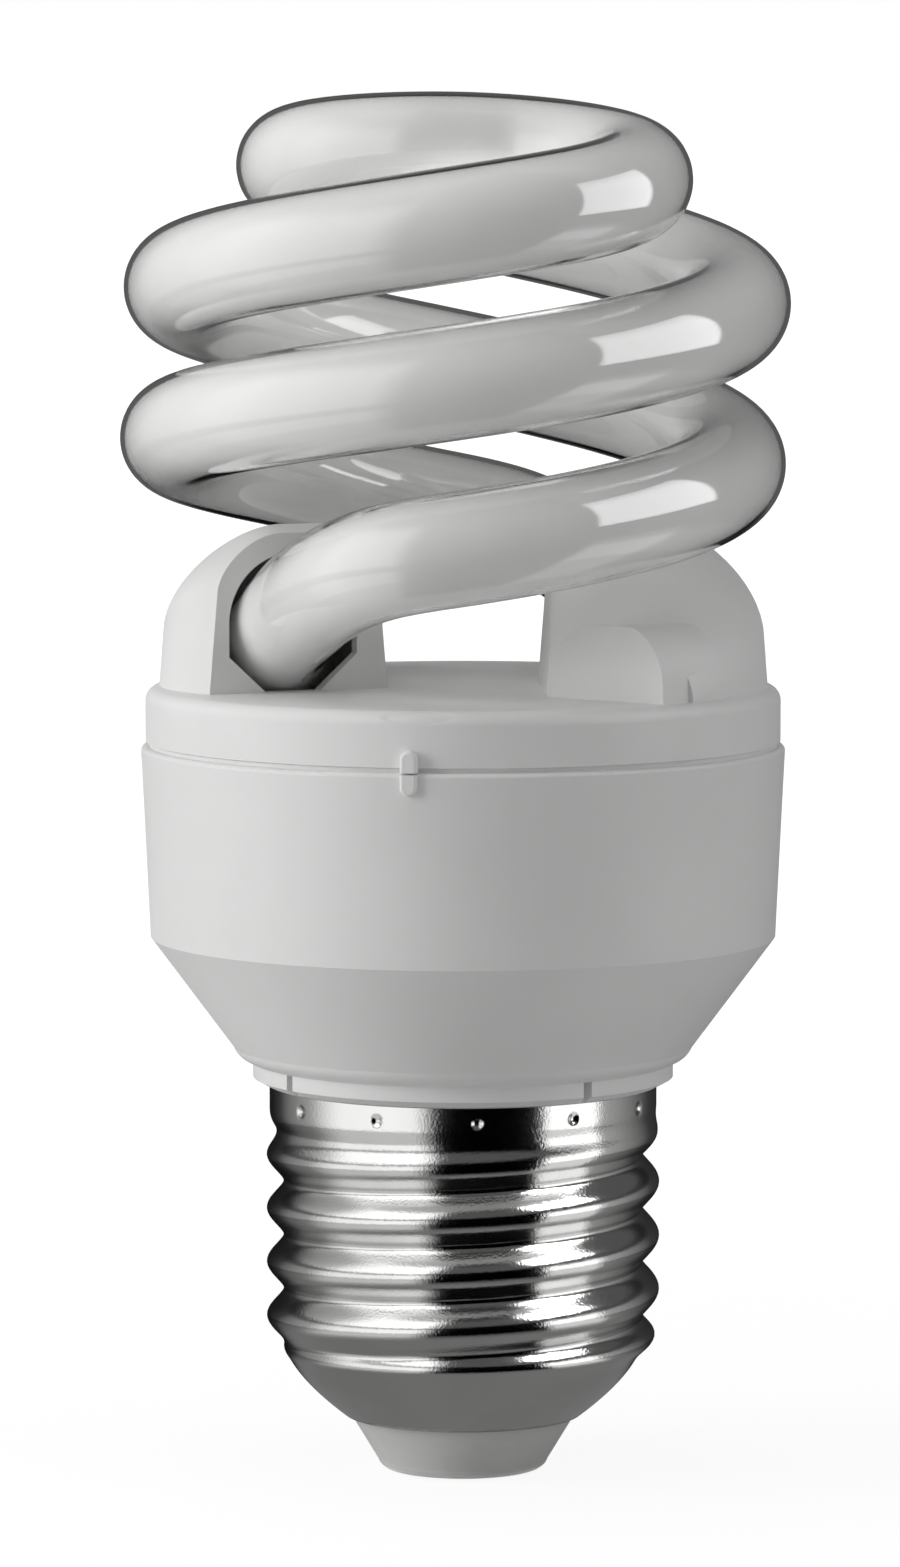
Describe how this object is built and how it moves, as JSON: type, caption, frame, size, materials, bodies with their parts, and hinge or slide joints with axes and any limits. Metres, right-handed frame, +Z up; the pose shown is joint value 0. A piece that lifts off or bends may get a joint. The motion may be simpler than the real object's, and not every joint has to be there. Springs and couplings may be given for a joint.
{
  "type": "spiral energy saving bulb",
  "caption": "Compact fluorescent lamp with a double spiral glass tube, a white ballast housing and a standard screw cap.",
  "frame": {"origin": "centre of the cap's foot, at the face of the centre contact", "axes": "+Z up the lamp's axis, from the cap to the top of the spiral; the side seen in the picture faces -Y"},
  "size_m": [0.0445, 0.0444, 0.0922],
  "materials": {
    "phosphor_glass": "clear glass over a white phosphor coat, opaque and glossy",
    "housing_plastic": "satin moulded white",
    "nickel_plate": "nickel-plated brass sheet, polished",
    "insulator_ceramic": "pale grey, satin",
    "contact_brass": "plain",
    "solder": "tin solder",
    "board": "laminate",
    "capacitor_sleeve": "shrink sleeve",
    "ferrite": "matt ferrite",
    "bobbin_plastic": "moulded",
    "copper_wire": "enamelled copper",
    "black_epoxy": "moulded epoxy",
    "resistor_coat": "lacquer",
    "film_capacitor_coat": "dipped epoxy",
    "disc_capacitor_coat": "dipped epoxy",
    "diode_glass": "glass body",
    "wire_sleeve": "insulated wire",
    "tinned_wire": "tinned wire"
  },
  "bodies": {
    "root": {"discharge_tube": "phosphor_glass", "tube_holder": "housing_plastic", "ballast_housing": "housing_plastic", "screw_shell": "nickel_plate", "cap_insulator": "insulator_ceramic", "centre_contact": "contact_brass", "contact_solder": "solder", "circuit_board": "board", "smoothing_capacitor": "capacitor_sleeve", "choke_core": "ferrite", "choke_bobbin": "bobbin_plastic", "choke_winding": "copper_wire", "feedback_ring": "ferrite", "ring_windings": "copper_wire", "transistors": "black_epoxy", "rectifier_diodes": "black_epoxy", "resistors": "resistor_coat", "diac": "diode_glass", "start_capacitor": "disc_capacitor_coat", "filter_choke": "ferrite", "fuse_resistor": "resistor_coat", "live_lead": "wire_sleeve", "neutral_lead": "wire_sleeve", "wrap_pins": "tinned_wire", "tube_leads": "tinned_wire", "resonant_capacitor": "film_capacitor_coat", "blocking_capacitor": "film_capacitor_coat"}
  },
  "joints": []
}
